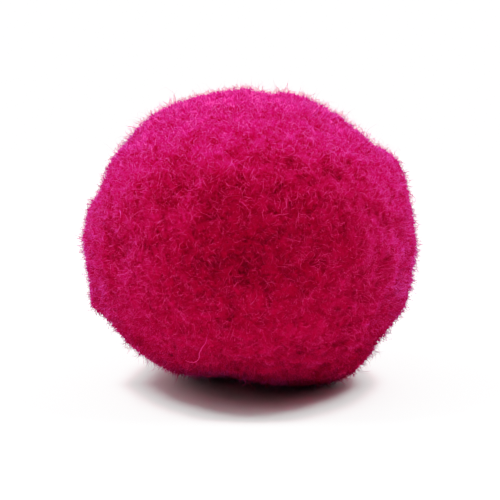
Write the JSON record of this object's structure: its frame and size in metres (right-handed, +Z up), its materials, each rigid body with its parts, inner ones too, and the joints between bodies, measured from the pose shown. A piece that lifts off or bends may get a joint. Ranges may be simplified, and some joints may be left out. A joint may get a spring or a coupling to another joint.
{
  "type": "yarn pom pom",
  "caption": "Round, slightly flattened pom pom of dense cut yarn locks, a soft trimming that rests on its underside.",
  "frame": {"origin": "on the floor, under the middle of the ball", "axes": "+Z up, +X to the right along the ball's greatest width, and the front faces -Y"},
  "size_m": [0.0396, 0.0382, 0.0347],
  "materials": {
    "yarn": "fuzzy matt yarn"
  },
  "bodies": {
    "root": {"pompom": "yarn"}
  },
  "joints": []
}
